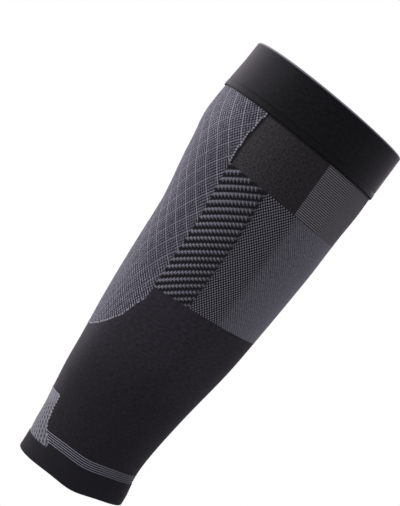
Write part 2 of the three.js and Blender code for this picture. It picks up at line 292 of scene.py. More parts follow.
def patch_high(angle):
    along = (from_back(angle) - NECK) / (FOOT - NECK)
    share = np.where(along < -1e-6, 1, np.interp(along, PATCH_CURVE[:, 0], PATCH_CURVE[:, 1]))
    return HEM_TOP + PATCH * share


def both(angles):
    """The same angles on both sides of the back"""
    return [s * a for a in angles for s in (-1, 1)]


calf_breaks = both(CALF_CURVE[1:, 0] * CALF_EDGE)
patch_breaks = both(NECK + PATCH_CURVE[:, 0] * (FOOT - NECK))
print("zone heights in mm:", round(BAND_LOW, 1), round(WINDOW_LOW, 1), round(CUFF_LOW, 1))

# %% [markdown]
# ## Numbers that flow through a material
# A knit's colour follows its stitches, so most of a finish is arithmetic on the stitch map: where in its wale and
# its course is this spot? Chains of Math nodes can say that, and this helper lets us write them as a formula.
# `wave` rises and falls once for each whole number, `near` is 1 close to whole numbers, and `ramp` eases between
# two values.

# %% A number in a node tree
class Wire:
    """A number that a socket gives, to be used in formulas"""

    def __init__(self, tree, socket):
        self.tree, self.socket = tree, socket

    def math(self, operation, *others):
        node = self.tree.nodes.new("ShaderNodeMath")
        node.operation = operation
        for slot, value in zip(node.inputs, (self, *others)):
            if isinstance(value, Wire):
                self.tree.links.new(value.socket, slot)
            else:
                slot.default_value = value
        return Wire(self.tree, node.outputs[0])

    def __add__(self, other):
        return self.math("ADD", other)

    def __sub__(self, other):
        return self.math("SUBTRACT", other)

    def __mul__(self, other):
        return self.math("MULTIPLY", other)

    def most(self, other):
        return self.math("MAXIMUM", other)

    def size(self):
        return self.math("ABSOLUTE")

    def wave(self):
        return (self * math.tau).math("COSINE")

    def ramp(self, start, end, first=0.0, last=1.0):
        node = self.tree.nodes.new("ShaderNodeMapRange")
        node.interpolation_type = "SMOOTHSTEP"
        self.tree.links.new(self.socket, node.inputs[0])
        for slot, value in zip(list(node.inputs)[1:5], (start, end, first, last)):
            slot.default_value = value
        return Wire(self.tree, node.outputs[0])

    def near(self, reach):
        return self.math("PINGPONG", 0.5).ramp(reach, 0)

    def blend(self, low, high):
        """low where this is 0 and high where it is 1"""
        return (high - low) * self + low


def uv_wires(tree, name):
    uv, parts = tree.nodes.new("ShaderNodeUVMap"), tree.nodes.new("ShaderNodeSeparateXYZ")
    uv.uv_map = name
    tree.links.new(uv.outputs[0], parts.inputs[0])
    return Wire(tree, parts.outputs[0]), Wire(tree, parts.outputs[1])


def attribute_wire(tree, name):
    node = tree.nodes.new("ShaderNodeAttribute")
    node.attribute_name = name
    return Wire(tree, node.outputs["Fac"])


def speckle(wale, height, across, along, detail=2.0):
    """Noise stretched along the yarn, from 0 to 1"""
    tree = wale.tree
    place, noise = tree.nodes.new("ShaderNodeCombineXYZ"), tree.nodes.new("ShaderNodeTexNoise")
    tree.links.new((wale * across).socket, place.inputs[0])
    tree.links.new((height * along).socket, place.inputs[1])
    tree.links.new(place.outputs[0], noise.inputs["Vector"])
    noise.inputs["Scale"].default_value = 1
    noise.inputs["Detail"].default_value = detail
    return Wire(tree, noise.outputs["Fac"])


def from_front(wale):
    """Wales from the middle of the shin"""
    return (wale - WALES / 2).size()


def checks(wale, height, pitch):
    """A soft chequerboard of single wales, from -1 to 1"""
    return wale.wave() * (height * (1 / pitch)).wave()


print("the helpers are ready")

# %% [markdown]
# ## Yarn
# Every zone is the same nylon and elastane yarn in black, gray or both. Each finish is a recipe that says where
# light yarn shows and how high the stitches stand. The rest is shared: two yarn colours, a fine unevenness of the
# yarn, a soft sheen from its fibres, a duller inside, and a bump as high as a stitch.

# %% The yarn finish
STITCH_HEIGHT = 0.0003
COURSE = 0.91
ROUGHNESS, UNEVENNESS = 0.75, 0.3


def stitches(wale, height):
    """The V of each knitted loop, as a height"""
    leg = wale.math("PINGPONG", 0.5)
    return wale.wave() * 0.3 + ((height * (1 / COURSE)) + leg * 1.4).wave() * 0.2 + 0.5


def two_colours(tree, share, first, second):
    """first where the share is 0 and second where it is 1"""
    mix = tree.nodes.new("ShaderNodeMix")
    mix.data_type = "RGBA"
    mix.inputs[6].default_value = (*first, 1)
    mix.inputs[7].default_value = (*second, 1)
    tree.links.new(share.socket, mix.inputs[0])
    return mix.outputs[2]


def yarn(name, dark, light, recipe, sheen=0.3, specular=0.12):
    """A material from two yarn colours and a recipe that returns the share of light yarn and the height"""
    material = bpy.data.materials.new(name)
    material.use_nodes = True
    tree = material.node_tree
    shader = tree.nodes["Principled BSDF"]
    wale, height = uv_wires(tree, "stitches")
    share, relief = recipe(wale, height)
    inside = attribute_wire(tree, "inside")
    share = share * inside.ramp(0.2, 0.8, 1, 0.45)
    grain = speckle(wale, height, 1.7, 0.9) * UNEVENNESS + (1 - UNEVENNESS / 2)
    tint = tree.nodes.new("ShaderNodeMix")
    tint.data_type, tint.blend_type = "RGBA", "MULTIPLY"
    tint.inputs[0].default_value = 1
    tree.links.new(two_colours(tree, share, dark, light), tint.inputs[6])
    tree.links.new(grain.socket, tint.inputs[7])
    tree.links.new(tint.outputs[2], shader.inputs["Base Color"])
    tree.links.new(share.ramp(0, 1, ROUGHNESS, ROUGHNESS - 0.1).socket, shader.inputs["Roughness"])
    shader.inputs["Specular IOR Level"].default_value = specular
    shader.inputs["Sheen Weight"].default_value = sheen
    shader.inputs["Sheen Roughness"].default_value = 0.42
    shader.inputs["Sheen Tint"].default_value = (0.98, 0.88, 1, 1)
    bump = tree.nodes.new("ShaderNodeBump")
    bump.inputs["Strength"].default_value = 0.6
    bump.inputs["Distance"].default_value = STITCH_HEIGHT
    tree.links.new((relief + grain * 0.3).socket, bump.inputs["Height"])
    tree.links.new(bump.outputs[0], shader.inputs["Normal"])
    return material


print("height of a stitch in mm:", STITCH_HEIGHT / MM)

# %% [markdown]
# ## Dressing a wall
# Each wall is given its yarn and hung under the frame's root, and the CAD part that it replaces is hidden.

# %% Dress a wall
finished = []


def dress(piece, material, node):
    """Gives a wall its yarn, hangs it under the root and hides the CAD part that it replaces"""
    if material.name not in piece.data.materials:
        piece.data.materials.append(material)
    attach(piece, "root")
    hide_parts(node)
    finished.append(piece)


# %% [markdown]
# ## The cuff
# The cuff is knitted twice as long, folded inwards and joined to the body by one row, which leaves a low ridge.
# Its profile is a short table of heights and how far both faces stand out, and the fold is where they meet. The
# cuff has the densest, smoothest knit, so its recipe has no pattern, only fine wales and faint patches. The rest
# is painted light: a painted highlight over the calf, painted shade in the groove where the ridge ends and at the
# ridge's foot, and a thin painted highlight on the fold.
# The ridge's underside gets a dark yarn of its own without sheen, as painted shade under the joint.

# %% The folded cuff
CUFF_PROUD, RIDGE = 1.0, 5.0
UNDER_ROWS = 2
fold = (CUFF_PROUD + WALL) / 2
turn = np.radians(np.linspace(0, 90, 8))
outer_rows = [(CUFF_LOW, 0.02), (CUFF_LOW + 0.02, 0.95), (CUFF_LOW + 0.5, 1.12), (CUFF_LOW + 1.2, 1.18),
              (CUFF_LOW + 2, 1.2), (CUFF_LOW + 3, 1.2), (CUFF_LOW + 4.2, 1.14),
              (CUFF_LOW + 4.7, 0.94), (CUFF_LOW + 5.1, 0.78), (CUFF_LOW + 5.6, 0.88), (CUFF_LOW + 6.4, 0.97),
              *((h, 1.0) for h in spaced(CUFF_LOW + 7.5, LENGTH - fold - 1, 1.5))]
profile = [(h, out, -WALL) for h, out in outer_rows]
profile += [(LENGTH - fold + fold * math.sin(t), CUFF_PROUD - fold * (1 - math.cos(t)),
             -WALL + fold * (1 - math.cos(t)) * 0.98) for t in turn]
profile = np.array(profile)
angle = np.broadcast_to(np.arange(-WALES, WALES) * WALE / 2, (len(profile), 2 * WALES))
height, outer, inner = (np.repeat(profile[:, k:k + 1], 2 * WALES, axis=1) for k in range(3))
cuff = knit_wall("folded_cuff", angle, height, outer, inner, ring=True)


def cuff_recipe(wale, height):
    # Painted light: painted shade in the groove above the ridge and at the ridge's foot, a thin painted highlight
    # on the fold's rim and a painted highlight over the calf at the back.
    crease_shade = (height - (CUFF_LOW + RIDGE)).size().ramp(0.3, 1.1, 0.3, 1)
    low = (height - CUFF_LOW).ramp(0.2, 1.4)
    rim_highlight = height.ramp(LENGTH - 1.5, LENGTH - 0.9)
    patches = (speckle(wale, height, 0.7, 0.7) - 0.5) * 0.06
    back_highlight = wale.size().ramp(22, 34, 0.045, 0)
    return ((patches + back_highlight + 0.015) * crease_shade * low).most(rim_highlight), stitches(wale, height) * 0.12


# The light colour shows mostly in the painted highlights on the rim and over the calf.
cuff_yarn = yarn("cuff_black_yarn", (0.003, 0.003, 0.004), (0.32, 0.30, 0.35), cuff_recipe,
                 sheen=0.6, specular=0.14)
# Painted shade: a dark yarn without sheen on the ridge's underside.
underside_shade_yarn = yarn("cuff_underside_shade_yarn", (0.003, 0.003, 0.004), (0.010, 0.009, 0.011), cuff_recipe, sheen=0)
for material in (cuff_yarn, underside_shade_yarn):
    cuff.data.materials.append(material)
shaded_underside = np.zeros(len(cuff.data.polygons), np.int32)
shaded_underside[:UNDER_ROWS * 2 * WALES] = 1
cuff.data.polygons.foreach_set("material_index", shaded_underside)
dress(cuff, cuff_yarn, "top_cuff")

# %% [markdown]
# ## The calf panel
# Over the calf muscle the knit is gray with a net of thin light lines, made by letting a loop float over its
# neighbour, one stitch further in each course. Two families of lines cross in lozenges that are about six wales
# wide. Drawn lines could be modelled as tubes, but a float is thinner than a hair's width of relief, so a
# second UV map counts the lines of both families, and the material draws a line at each whole number. Between
# them lies a fine hatch that follows the same count and grows steeper and coarser towards the ankle. The mesh
# itself only swells a little within each lozenge.

# %% The calf panel's net
# height, lines per degree, lozenges counted along the leg, count at the middle of the back
NET = np.array([(96, 0.0761, -8.648, -2.341), (120, 0.0761, -6.827, -1.642), (144, 0.0761, -5.007, -0.944),
                (168, 0.0782, -3.191, -0.457), (192, 0.0805, -1.395, -0.238), (216, 0.0828, 0.367, -0.245),
                (240, 0.0851, 2.083, -0.441), (264, 0.0874, 3.737, -0.794), (290, 0.0899, 5.445, -1.311)])


def net_lines(angle, height, side):
    """The count of lines of each family at this spot. side is -1 or 1: the net is mirrored at the middle"""
    across, along, start = (smooth(NET, k, height) for k in (1, 2, 3))
    common = side * (across * np.abs(angle) + start)
    return common - along, common + along


def calf_side(height):
    """The panel's side edge, in whole stitches: it widens towards the cuff"""
    wide = np.interp(height, (245, 262, 283), (CALF_EDGE, 62.4, 64.4))
    return np.maximum(CALF_EDGE, CALF_EDGE + np.round((wide - CALF_EDGE) / (WALE / 2)) * WALE / 2)


SWELL, SUNK = 0.22, 0.1
angle, height = grid(-CALF_EDGE, CALF_EDGE, calf_low, CUFF_LOW - SEAM, 0.95, breaks=calf_breaks)
angle *= calf_side(height) / CALF_EDGE
rising, falling = net_lines(angle, height, 1)
swell = SWELL * np.sqrt(np.abs(np.sin(np.pi * rising) * np.sin(np.pi * falling))) - SUNK
calf = knit_wall("calf_net_panel", angle, height, swell)

uv = np.empty(len(calf.data.loops) * 2, np.float32)
calf.data.uv_layers["stitches"].data.foreach_get("uv", uv)
side = np.sign(uv[0::2].reshape(-1, 4).mean(axis=1)).repeat(4)
rising, falling = net_lines(uv[0::2] * WALE, uv[1::2].astype(float), side)
counts = np.stack([rising, falling], -1).astype(np.float32)
calf.data.uv_layers.new(name="net").data.foreach_set("uv", counts.ravel())


WEAVE = 2.8


def calf_recipe(wale, height):
    rising, falling = uv_wires(wale.tree, "net")
    fade = height.ramp(112, 195, 0.25, 1)
    dotted = (rising * 5).wave()
    faint = rising.near(0.06) * height.ramp(275, 235, 0.48, 0.66)
    bright = falling.near(0.055) * (dotted * 0.3 + 0.95)
    lines = faint.most(bright) * fade
    weave = checks(wale, height, WEAVE) * height.ramp(200, 130, 0.25, 0.5)
    steep = (falling * 5).wave() * height.ramp(205, 155, 0.24, 0)
    steep = steep + (falling * 4).wave() * height.ramp(195, 145, 0, 0.48)
    hatch = dotted * height.ramp(200, 140, 0.28, 0.16) + steep
    hatch = hatch * wale.size().ramp(6, 24, 0.6, 1)
    # Painted shade: the panel darkens towards its sides, where it turns away from the calf's lamps.
    side = (wale.size() + height.ramp(235, 270, 7, -1)).ramp(14, 30) * height.ramp(130, 180, -0.26, -0.42) + 1
    patches = (speckle(wale, height, 1.5, 1.2) - 0.5) * height.ramp(220, 150, 1.5, 2)
    ground = (weave + hatch + 0.17 + patches) * side
    # The last factor is painted light: darker lower down, lighter under the cuff.
    share = ground.most(lines * (side * 0.5 + 0.5)) * height.ramp(235, 268, 0.9, 1.05)
    return share, lines * 0.8 + weave + stitches(wale, height) * 0.4


calf_yarn = yarn("calf_gray_yarn", (0.026, 0.024, 0.033), (0.56, 0.547, 0.67), calf_recipe)
calf.data.materials.append(calf_yarn)

# %% [markdown]
# ## The rib fields
# Beside the calf lie two fields of raised slanting ribs, gray yarn that is held forward over black. The rib
# itself is relief in the wall, rounder than the CAD model's. Its bright crest zigzags from wale to wale, more so
# low down. Each rib ends below in a row of small gray tongues, one for each wale, where the gray yarn dives behind
# the black.

# %% The ribs' wall
RIB_PITCH, RIB_CLIMB, RIB_PROUD = 5.57, 0.67, 0.6
RIB_HALF, RIB_FLANK = 0.36, 0.16  # half a rib's width and the width of its flank, as shares of the pitch
RIB_MIDDLE = ((CALF_EDGE + RIB_EDGE) / 2, (BAND_LOW + WINDOW_LOW) / 2)


def rib_number(angle, height):
    """Whole numbers lie on the middle of a rib"""
    return (height - RIB_MIDDLE[1] - RIB_CLIMB * (from_back(angle) - RIB_MIDDLE[0])) / RIB_PITCH


def rib_relief(angle, height):
    """How far the wall stands out, in millimetres"""
    off = np.abs(rib_number(angle, height) + 0.5) % 1 - 0.5
    rise = np.clip((RIB_HALF - np.abs(off)) / RIB_FLANK, 0, 1)
    return RIB_PROUD * rise * rise * (3 - 2 * rise)


def rib_recipe(wale, height):
    number = (height - RIB_MIDDLE[1] - (wale.size() * WALE - RIB_MIDDLE[0]) * RIB_CLIMB) * (1 / RIB_PITCH)
    off = (number + 0.5).math("FLOORED_MODULO", 1.0) - 0.5
    zigzag = (wale.size() + height.ramp(WINDOW_LOW, BAND_LOW, 0.5, -0.2)).wave()
    zigzag = zigzag * height.ramp(WINDOW_LOW, BAND_LOW, 0.07, 0.16)
    crest = (off - zigzag - 0.16).size().ramp(0.22, 0.07) * wale.size().ramp(30, 41, 1.08, 0.5)
    between = height.ramp(WINDOW_LOW, BAND_LOW, -0.15, 0.12)
    bright = height.ramp(WINDOW_LOW, BAND_LOW, 0.41, 0.66)
    return crest * (wale.wave() * between + bright) + 0.02, crest * 0.5 + stitches(wale, height) * 0.4


rib_yarn = yarn("rib_yarn", (0.010, 0.0095, 0.013), (0.40, 0.38, 0.45), rib_recipe)
ribs = {}
for side, sign in (("right", 1), ("left", -1)):
    angle, height = grid(CALF_EDGE + SEAM_ANGLE, RIB_EDGE, BAND_LOW, WINDOW_LOW - SEAM, 0.46)
    if sign < 0:
        angle = -angle[:, ::-1]
    ribs[side] = knit_wall(f"rib_field_{side}", angle, height, rib_relief(angle, height))

# %% [markdown]
# ## Loops set one by one
# The tongues, and the light loops that step along the borders, repeat hundreds of times. Geometry Nodes set them:
# the places are points with two directions, outward and up the leg, and the tree puts one small loop of yarn on
# each point, turns it, and joins them to the wall. A loop is a sphere of few faces, drawn long and narrowed
# towards its tail.

# %% The shape and the turn of a loop
def loop_shape(tree, narrowing):
    """A ball drawn in towards its tail, which its tail attribute marks with 1"""
    node, link = tree.nodes.new, tree.links.new
    ball = node("GeometryNodeMeshUVSphere")
    ball.inputs["Segments"].default_value = 8
    ball.inputs["Rings"].default_value = 5
    ball.inputs["Radius"].default_value = 1
    place, parts = node("GeometryNodeInputPosition"), node("ShaderNodeSeparateXYZ")
    link(place.outputs[0], parts.inputs[0])
    tail = node("ShaderNodeMapRange")
    for slot, value in zip(list(tail.inputs)[1:5], (1, -1, 0, 1)):
        slot.default_value = value
    link(parts.outputs[1], tail.inputs[0])
    keep = node("GeometryNodeStoreNamedAttribute")
    keep.inputs["Name"].default_value = "tail"
    link(ball.outputs["Mesh"], keep.inputs["Geometry"])
    link(tail.outputs[0], keep.inputs["Value"])

    narrow = node("ShaderNodeMath")
    narrow.operation = "MULTIPLY"
    link(tail.outputs[0], narrow.inputs[0])
    link(narrowing, narrow.inputs[1])
    left = node("ShaderNodeMath")
    left.operation = "SUBTRACT"
    left.inputs[0].default_value = 1
    link(narrow.outputs[0], left.inputs[1])
    shaped = node("ShaderNodeCombineXYZ")
    link(left.outputs[0], shaped.inputs[0])
    shaped.inputs[1].default_value = 1
    link(left.outputs[0], shaped.inputs[2])
    times = node("ShaderNodeVectorMath")
    times.operation = "MULTIPLY"
    link(place.outputs[0], times.inputs[0])
    link(shaped.outputs[0], times.inputs[1])
    shape = node("GeometryNodeSetPosition")
    link(keep.outputs[0], shape.inputs["Geometry"])
    link(times.outputs[0], shape.inputs["Position"])
    return shape.outputs[0]


def loop_turn(tree):
    """The rotation that the two directions of a place give"""
    turns = []
    for axis, name in (("Z", "outward"), ("Y", "upward")):
        way = tree.nodes.new("GeometryNodeInputNamedAttribute")
        turn = tree.nodes.new("FunctionNodeAlignRotationToVector")
        way.data_type, turn.axis = "FLOAT_VECTOR", axis
        way.inputs["Name"].default_value = name
        tree.links.new(way.outputs["Attribute"], turn.inputs["Vector"])
        turns.append(turn)
    turns[1].pivot_axis = "Z"
    tree.links.new(turns[0].outputs[0], turns[1].inputs["Rotation"])
    return turns[1].outputs[0]


print("a loop's shape and turn are ready")

# %% A tree that sets loops
def loop_tree():
    tree = bpy.data.node_groups.new("set_loops", "GeometryNodeTree")
    face = tree.interface
    face.new_socket("Wall", in_out="INPUT", socket_type="NodeSocketGeometry")
    face.new_socket("Places", in_out="INPUT", socket_type="NodeSocketObject")
    for name in ("Width", "Length", "Proud", "Narrowing"):
        face.new_socket(name, in_out="INPUT", socket_type="NodeSocketFloat")
    face.new_socket("Yarn", in_out="INPUT", socket_type="NodeSocketMaterial")
    face.new_socket("Wall and loops", in_out="OUTPUT", socket_type="NodeSocketGeometry")
    node, link = tree.nodes.new, tree.links.new
    given, made = node("NodeGroupInput"), node("NodeGroupOutput")

    stretch, reach = node("GeometryNodeInputNamedAttribute"), node("ShaderNodeMath")
    stretch.inputs["Name"].default_value = "stretch"
    reach.operation = "MULTIPLY"
    link(given.outputs["Length"], reach.inputs[0])
    link(stretch.outputs["Attribute"], reach.inputs[1])
    size = node("ShaderNodeCombineXYZ")
    for i, socket in enumerate((given.outputs["Width"], reach.outputs[0], given.outputs["Proud"])):
        link(socket, size.inputs[i])
    source, put = node("GeometryNodeObjectInfo"), node("GeometryNodeInstanceOnPoints")
    link(given.outputs["Places"], source.inputs["Object"])
    link(source.outputs["Geometry"], put.inputs["Points"])
    link(loop_shape(tree, given.outputs["Narrowing"]), put.inputs["Instance"])
    link(loop_turn(tree), put.inputs["Rotation"])
    link(size.outputs[0], put.inputs["Scale"])
    smooth_faces, real = node("GeometryNodeSetShadeSmooth"), node("GeometryNodeRealizeInstances")
    link(put.outputs[0], real.inputs[0])
    link(real.outputs[0], smooth_faces.inputs[0])
    paint, join = node("GeometryNodeSetMaterial"), node("GeometryNodeJoinGeometry")
    link(smooth_faces.outputs[0], paint.inputs["Geometry"])
    link(given.outputs["Yarn"], paint.inputs["Material"])
    link(paint.outputs[0], join.inputs[0])
    link(given.outputs["Wall"], join.inputs[0])
    link(join.outputs[0], made.inputs[0])
    return tree


set_loops = loop_tree()
print("sockets:", [item.name for item in set_loops.interface.items_tree])


# %% Set loops on a wall
def add_loops(wall, angle, height, out, width, length, proud, narrowing, material,
              lean=0.0, stretch=1.0):
    """Sets one loop at each angle and height of a wall, and keeps wall and loops as one plain mesh.
    lean turns the loops, in degrees of angle for each millimetre of height.
    stretch is a share of their length."""
    angle, height = np.asarray(angle, float), np.asarray(height, float)
    middle = knit_point(angle, height, out)
    upward = knit_point(angle + lean, height + 1, out) - middle
    outward = knit_point(angle, height, out + 1) - middle
    places = bpy.data.objects.new("places", bpy.data.meshes.new("places"))
    places.data.from_pydata(middle, [], [])
    for name, way in (("outward", outward), ("upward", upward)):
        way = (way / np.linalg.norm(way, axis=1, keepdims=True)).astype(np.float32)
        places.data.attributes.new(name, "FLOAT_VECTOR", "POINT").data.foreach_set("vector", way.ravel())
    shares = np.broadcast_to(stretch, angle.shape).astype(np.float32)
    places.data.attributes.new("stretch", "FLOAT", "POINT").data.foreach_set("value", shares)
    bpy.context.scene.collection.objects.link(places)
    setter = wall.modifiers.new("loops", "NODES")
    setter.node_group = set_loops
    values = {"Places": places, "Width": width / 2 * MM, "Length": length / 2 * MM, "Proud": proud * MM,
              "Narrowing": narrowing, "Yarn": material}
    for item in set_loops.interface.items_tree:
        if item.in_out == "INPUT" and item.name in values:
            setter[item.identifier] = values[item.name]
    bpy.context.view_layer.update()
    made = bpy.data.meshes.new_from_object(wall.evaluated_get(bpy.context.evaluated_depsgraph_get()))
    wall.modifiers.remove(setter)
    made.materials.pop(index=list(made.materials).index(None))
    wall.data = made
    bpy.data.objects.remove(places)
    made.calc_loop_triangles()
    print(f"{wall.name}: {len(angle)} loops, {len(made.loop_triangles)} triangles")


print("loops can be set")

# %% [markdown]
# ## Tongues on the ribs
# Seen close, a rib is a chain of bright beads, one for each wale, and from each bead a dimmer tail hangs down over
# the black. The loops' tail attribute carries that change of colour. In the lower rows the tongues are shorter and
# lie over until they almost follow the course.

# %% Set the tongues
def loop_yarn(name, head, tail):
    """Yarn of single loops, from the colour of the head to the colour of the tail"""
    material = bpy.data.materials.new(name)
    material.use_nodes = True
    tree = material.node_tree
    shader = tree.nodes["Principled BSDF"]
    colour = two_colours(tree, attribute_wire(tree, "tail").ramp(0.15, 0.85), head, tail)
    tree.links.new(colour, shader.inputs["Base Color"])
    kinds = ("ShaderNodeTexNoise", "ShaderNodeTexCoord", "ShaderNodeBump")
    fibre, place, bump = (tree.nodes.new(kind) for kind in kinds)
    tree.links.new(place.outputs["Object"], fibre.inputs["Vector"])
    fibre.inputs["Scale"].default_value = 2500
    tree.links.new(fibre.outputs["Fac"], bump.inputs["Height"])
    bump.inputs["Distance"].default_value = 0.0001
    tree.links.new(bump.outputs[0], shader.inputs["Normal"])
    shader.inputs["Roughness"].default_value = 0.7
    shader.inputs["Specular IOR Level"].default_value = 0.25
    shader.inputs["Sheen Weight"].default_value = 0.2
    return material


tongue_yarn = loop_yarn("rib_tongue_yarn", (0.30, 0.285, 0.34), (0.13, 0.123, 0.15))
first, last = math.ceil(CALF_EDGE / WALE), math.floor(RIB_EDGE / WALE) - 1
wales = (np.arange(first, last + 1) + 0.5) * WALE
numbers = np.arange(-14, 15)  # more ribs than the field holds, and within keeps those that lie in it
across, rib = (g.ravel() for g in np.meshgrid(wales, numbers))
along = RIB_MIDDLE[1] + rib * RIB_PITCH + RIB_CLIMB * (across - RIB_MIDDLE[0])
within = (along > BAND_LOW + 1.8) & (along < WINDOW_LOW - 1.6)
across, along = across[within], along[within]
stretch = np.interp(along, (BAND_LOW + 25, WINDOW_LOW - 20), (0.76, 1))
along += (1 - stretch) * 1.3
lying = np.radians(np.interp(along, (BAND_LOW + 15, WINDOW_LOW), (76, 35)))
for side, sign in (("right", 1), ("left", -1)):
    wall = ribs[side]
    wall.data.materials.append(rib_yarn)
    add_loops(wall, sign * across, along, RIB_PROUD - 0.14, 1.2, 4.1, 0.5, 0.12, tongue_yarn,
              lean=-sign * np.tan(lying), stretch=stretch)

# %% [markdown]
# ## Light loops along the borders
# Where gray yarn ends, its last loop is pulled tight and stands out as a bright bead. The same tree sets these
# beads along the calf panel's sides, in one row beside each window, and along its swept lower edge.

# %% Beads along the calf panel's borders
bead_yarn = loop_yarn("border_bead_yarn", (0.56, 0.54, 0.62), (0.28, 0.27, 0.31))
BEAD_STEP, BEAD_INSET = 2.1, 0.55
side_height = np.arange(WINDOW_LOW + 1.2, CUFF_LOW - 1, BEAD_STEP)
side_angle = calf_side(side_height)
curve_angle = np.arange(-28, 29) * WALE
curve_height = calf_low(curve_angle)
angle = np.concatenate([side_angle - BEAD_INSET, -side_angle + BEAD_INSET, curve_angle])
height = np.concatenate([side_height, side_height, curve_height + 0.45])
below_cuff = height < CUFF_LOW - 0.9
add_loops(calf, angle[below_cuff], height[below_cuff], 0.05, 1.45, 1.5, 0.36, 0.15, bead_yarn)
dress(calf, calf_yarn, "calf_panel")

# %% [markdown]
# ## The plain windows and the striped panel
# Between ribs and cuff the knit is plain and dark, and over the upper shin every second course brings gray yarn
# to the front, which gives fine stripes that fade towards the middle of the shin.

# %% Windows
def shade_under_cuff(height):
    """Painted shade: darker just under the cuff's ridge"""
    return (height - (CUFF_LOW - 0.2)).size().ramp(0.4, 1.8, 0.35, 1)


def window_recipe(wale, height):
    # Painted shadow: darker beside the calf panel's border beads.
    shadow_beside_beads = wale.size() - (height * 0.035 + 20.1)
    patches = (speckle(wale, height, 1.3, 0.9) - 0.5) * 1.3
    level = stitches(wale, height) * 0.1 + patches + 0.48
    # Painted light: lighter towards the calf and darker towards the shin, as the light falls off.
    level = level * wale.size().ramp(30, 48, 1.3, 0.72)
    return level * shade_under_cuff(height) * shadow_beside_beads.ramp(0.3, 1.5, 0.1, 1), stitches(wale, height) * 0.4


windows = {}
for side, sign in (("right", 1), ("left", -1)):
    angle, height = grid(CALF_EDGE + SEAM_ANGLE, WINDOW_EDGE, WINDOW_LOW, CUFF_LOW - SEAM, 1.4)
    share = (angle - angle.min()) / (angle.max() - angle.min())
    start = calf_side(height) + SEAM_ANGLE
    angle = start + (WINDOW_EDGE - start) * share
    if sign < 0:
        angle = -angle[:, ::-1]
    windows[side] = knit_wall(f"plain_window_{side}", angle, height)

# %% Stripes
STRIPE, STRIPE_PROUD = 1.48, 0.07
start = WINDOW_EDGE + SEAM_ANGLE
angle, height = grid(start, 360 - start, WINDOW_LOW, CUFF_LOW - SEAM, STRIPE / 4)
stripes = knit_wall("striped_panel", angle, height, STRIPE_PROUD * np.cos(math.tau * height / STRIPE))


def stripe_recipe(wale, height):
    fade = from_front(wale).ramp(15, 24, 0.12, 1)
    line = (height * (1 / STRIPE)).wave() * (wale.wave() * 0.38 + 0.88)
    # With painted shade just under the cuff.
    share = (line * fade * 0.64 + 0.43) * shade_under_cuff(height)
    return share, line * fade * 0.4 + stitches(wale, height) * 0.5


window_yarn = yarn("plain_dark_yarn", (0.006, 0.0055, 0.006), (0.080, 0.071, 0.080), window_recipe)
for side in windows:
    dress(windows[side], window_yarn, f"side_window_{side}")
    dress(ribs[side], rib_yarn, f"rib_panel_{side}")
stripe_yarn = yarn("striped_dark_yarn", (0.006, 0.0055, 0.006), (0.31, 0.291, 0.318), stripe_recipe)
dress(stripes, stripe_yarn, "upper_shin_panel")

# %% [markdown]
# ## The gray band over the shin
# Next to the ribs, gray and black loops alternate like a chequerboard, and further round to the front only the
# gray is left. One of the chequerboard's two diagonals lives on there as a faint slanting grain.

# %% The shin band
CHECK = 2.74
start = RIB_EDGE + SEAM_ANGLE
angle, height = grid(start, 360 - start, BAND_LOW, WINDOW_LOW - SEAM, 0.92)
shin = knit_wall("shin_check_band", angle, height)


def shin_recipe(wale, height):
    front = from_front(wale)
    checked = front.ramp((180 - 121) / WALE, (180 - 114) / WALE)
    check = checks(wale, height, CHECK)
    dots = check.ramp(-0.1, 0.6, 0.0, 0.8)
    slant = (wale + height * (1 / CHECK)).wave()
    patches = (speckle(wale, height, 0.8, 0.8) - 0.5) * 0.6
    # The plain gray is the yarn's own; its rise towards the front is a painted highlight on the far edge.
    plain = slant * 0.16 + patches + front.ramp(32, 5, 0.34, 0.56)
    plain = plain + front.ramp(14, 2, 0, 0.16)
    return checked.blend(plain, dots), check * checked * 0.6 + stitches(wale, height) * 0.4


shin_yarn = yarn("shin_gray_yarn", (0.008, 0.0075, 0.010), (0.36, 0.35, 0.42), shin_recipe)
dress(shin, shin_yarn, "shin_band")

# %% [markdown]
# ## The lower leg
# Below the gray zones the sleeve is plain black-brown knit, smooth to the eye. The wall goes all the way round,
# with the calf panel's tail let into its top and the patch over the tendon let into its foot, so its two edges
# are functions of the angle, and the grid gets extra columns where they turn. At the back it is painted a little
# paler, a painted highlight from the calf's lamps.

# %% The lower leg
def leg_high(angle):
    beyond = from_back(angle) > CALF_EDGE + SEAM_ANGLE + STEP / 2
    return np.where(beyond, BAND_LOW, calf_low(angle)) - SEAM


def leg_low(angle):
    beyond = from_back(angle) > NECK + SEAM_ANGLE + STEP / 2
    side = np.maximum(patch_high(from_back(angle) - SEAM_ANGLE), ANKLE_TOP)
    return np.where(beyond, side, HEM_TOP + PATCH) + SEAM


leg_steps = both([edge + SEAM_ANGLE + step for edge in (CALF_EDGE, NECK) for step in (0, STEP)])
beside_patch = [b + math.copysign(SEAM_ANGLE, b) for b in patch_breaks[2:-2]]
leg_breaks = [*calf_breaks[:-2], *leg_steps, *beside_patch]
angle, height = grid(-180, 180, leg_low, leg_high, 1.35, breaks=leg_breaks)
leg = knit_wall("lower_leg_knit", angle[:, :-1], height[:, :-1], ring=True)


def leg_recipe(wale, height):
    drift = speckle(wale, height, 0.08, 0.03) - 0.5
    patches = speckle(wale, height, 0.6, 0.6) - 0.5
    # Painted highlight: paler at the back, where the calf's lamps light the leg.
    back_highlight = wale.size().ramp(9, 22, 0.5, 0)
    level = stitches(wale, height) * 0.1 + drift * 0.3 + patches * 0.8 + back_highlight + 0.45
    return level * height.ramp(60, 125, 0.68, 1.3), stitches(wale, height) * 0.25


leg_yarn = yarn("leg_black_yarn", (0.006, 0.0055, 0.007), (0.045, 0.040, 0.054), leg_recipe,
                sheen=0.16, specular=0.16)
dress(leg, leg_yarn, "lower_leg")

